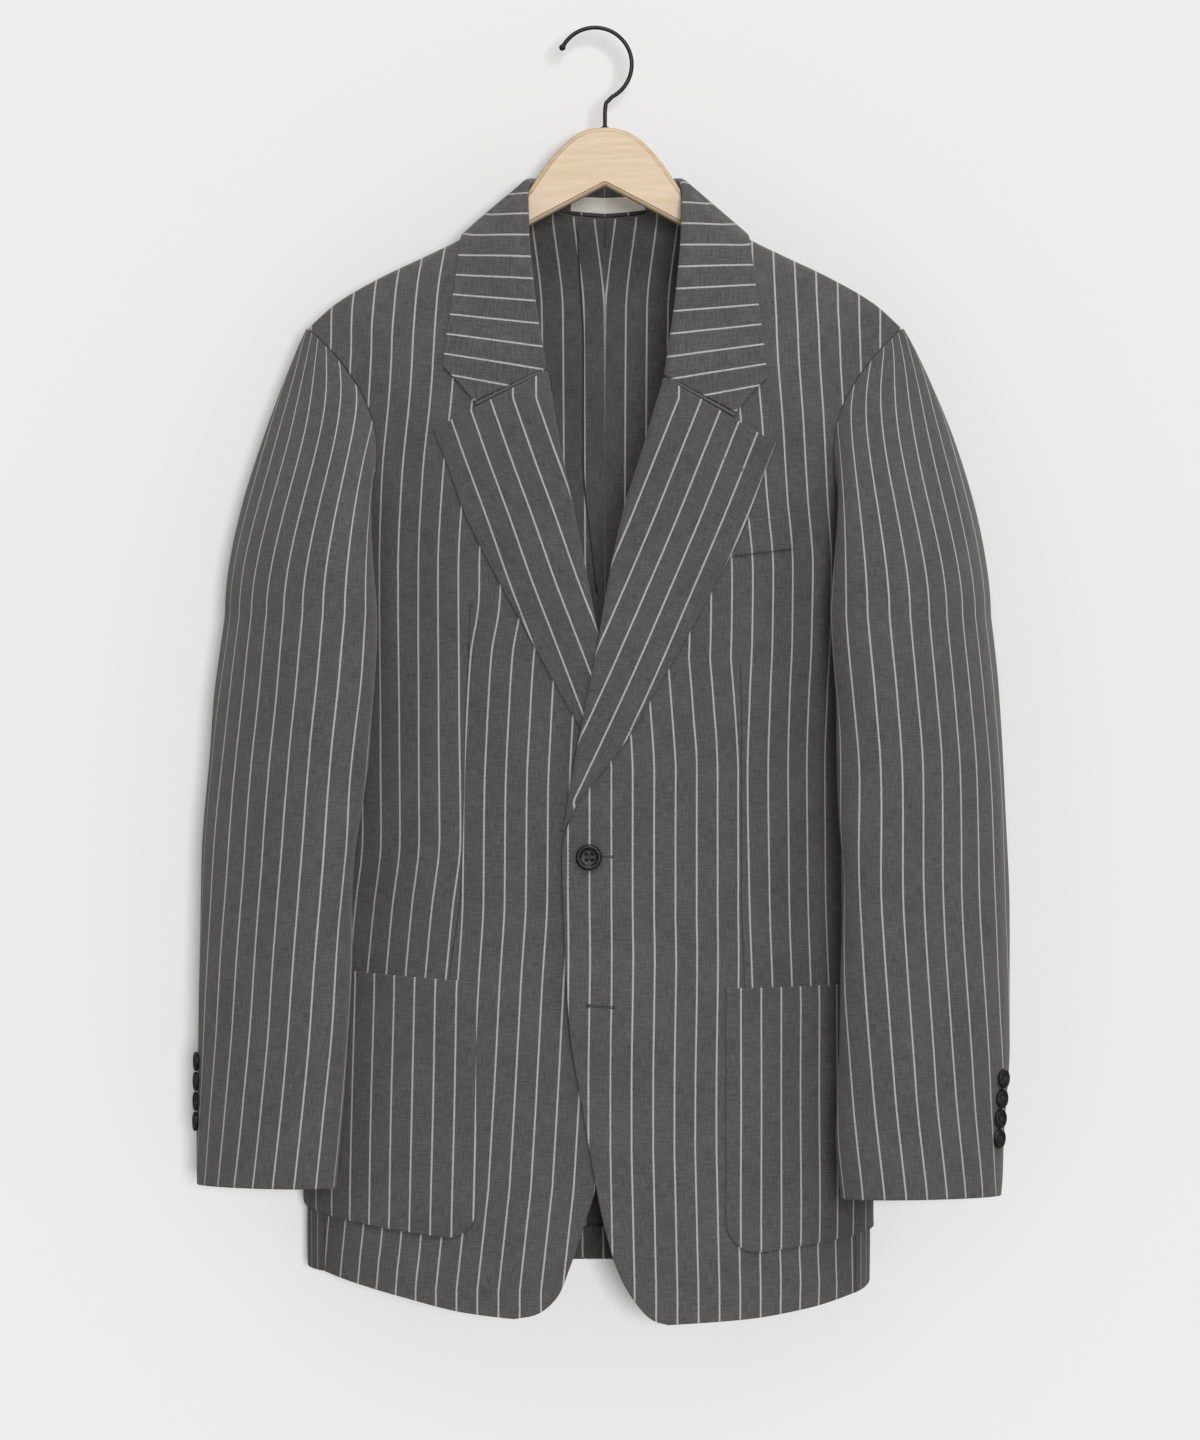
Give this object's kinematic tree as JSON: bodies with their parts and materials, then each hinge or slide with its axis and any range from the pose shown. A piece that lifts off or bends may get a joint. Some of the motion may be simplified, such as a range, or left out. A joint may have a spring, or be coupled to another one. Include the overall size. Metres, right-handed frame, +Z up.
{
  "type": "single-breasted jacket on a hanger",
  "caption": "Notch-lapel tailored jacket with patch pockets in pin-striped cloth, hanging closed on a wooden hanger with a wire hook.",
  "frame": {"origin": "underside of the crown of the hanger's hook, where a rail carries it", "axes": "+X to the viewer's right seen from the front, +Y to the back of the jacket, +Z up"},
  "size_m": [0.5983, 0.138, 0.9507],
  "materials": {
    "grey_pinstripe_cloth": "matte heathered weave with pale pinstripes",
    "label_tape": "woven tape, bare",
    "dark_horn": "polished dark horn",
    "pale_wood": "satin natural",
    "black_steel": "black, satin"
  },
  "bodies": {
    "root": {"front_left": "grey_pinstripe_cloth", "front_right": "grey_pinstripe_cloth", "back_left": "grey_pinstripe_cloth", "back_right": "grey_pinstripe_cloth", "side_panel_left": "grey_pinstripe_cloth", "side_panel_right": "grey_pinstripe_cloth", "back_hem_turn": "grey_pinstripe_cloth", "sleeve_top_left": "grey_pinstripe_cloth", "sleeve_top_right": "grey_pinstripe_cloth", "sleeve_under_left": "grey_pinstripe_cloth", "sleeve_under_right": "grey_pinstripe_cloth", "collar": "grey_pinstripe_cloth", "lapel_left": "grey_pinstripe_cloth", "lapel_right": "grey_pinstripe_cloth", "patch_pocket_left": "grey_pinstripe_cloth", "patch_pocket_right": "grey_pinstripe_cloth", "breast_pocket": "grey_pinstripe_cloth", "neck_label": "label_tape", "button_front": "dark_horn", "button_lower": "dark_horn", "cuff_button_left_1": "dark_horn", "cuff_button_left_2": "dark_horn", "cuff_button_left_3": "dark_horn", "cuff_button_left_4": "dark_horn", "cuff_button_right_1": "dark_horn", "cuff_button_right_2": "dark_horn", "cuff_button_right_3": "dark_horn", "cuff_button_right_4": "dark_horn", "hanger_wood": "pale_wood", "hanger_hook": "black_steel"}
  },
  "joints": []
}
